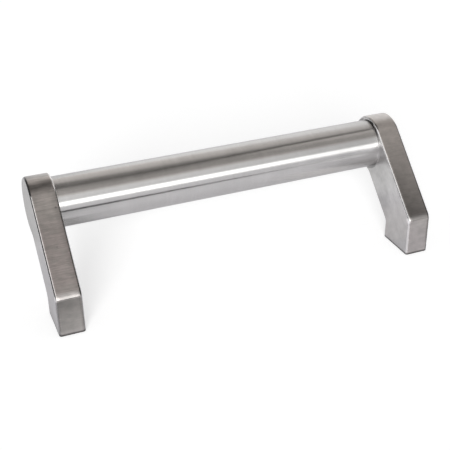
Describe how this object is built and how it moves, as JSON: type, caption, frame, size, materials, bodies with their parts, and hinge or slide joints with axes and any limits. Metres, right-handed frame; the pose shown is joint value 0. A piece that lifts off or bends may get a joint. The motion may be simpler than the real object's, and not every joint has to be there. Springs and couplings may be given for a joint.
{
  "type": "door pull handle",
  "caption": "Straight round tube pull with slanting flat-sided cast legs, whose feet bolt to a door beside the tube's line.",
  "frame": {"origin": "midway between the two threaded fixing holes, on the plane of the door's face", "axes": "+X along the tube, from the left leg to the right one; +Y the way the tube is cranked off the line of the fixing holes; +Z away from the door"},
  "size_m": [0.235, 0.0725, 0.072],
  "materials": {
    "tube": "satin, brushed round the tube",
    "casting": "satin, ground across the arm",
    "spring_pin": "plain rolled spring steel"
  },
  "bodies": {
    "root": {"grip_tube": "tube", "left_leg": "casting", "right_leg": "casting", "left_pin": "spring_pin", "right_pin": "spring_pin"}
  },
  "joints": []
}
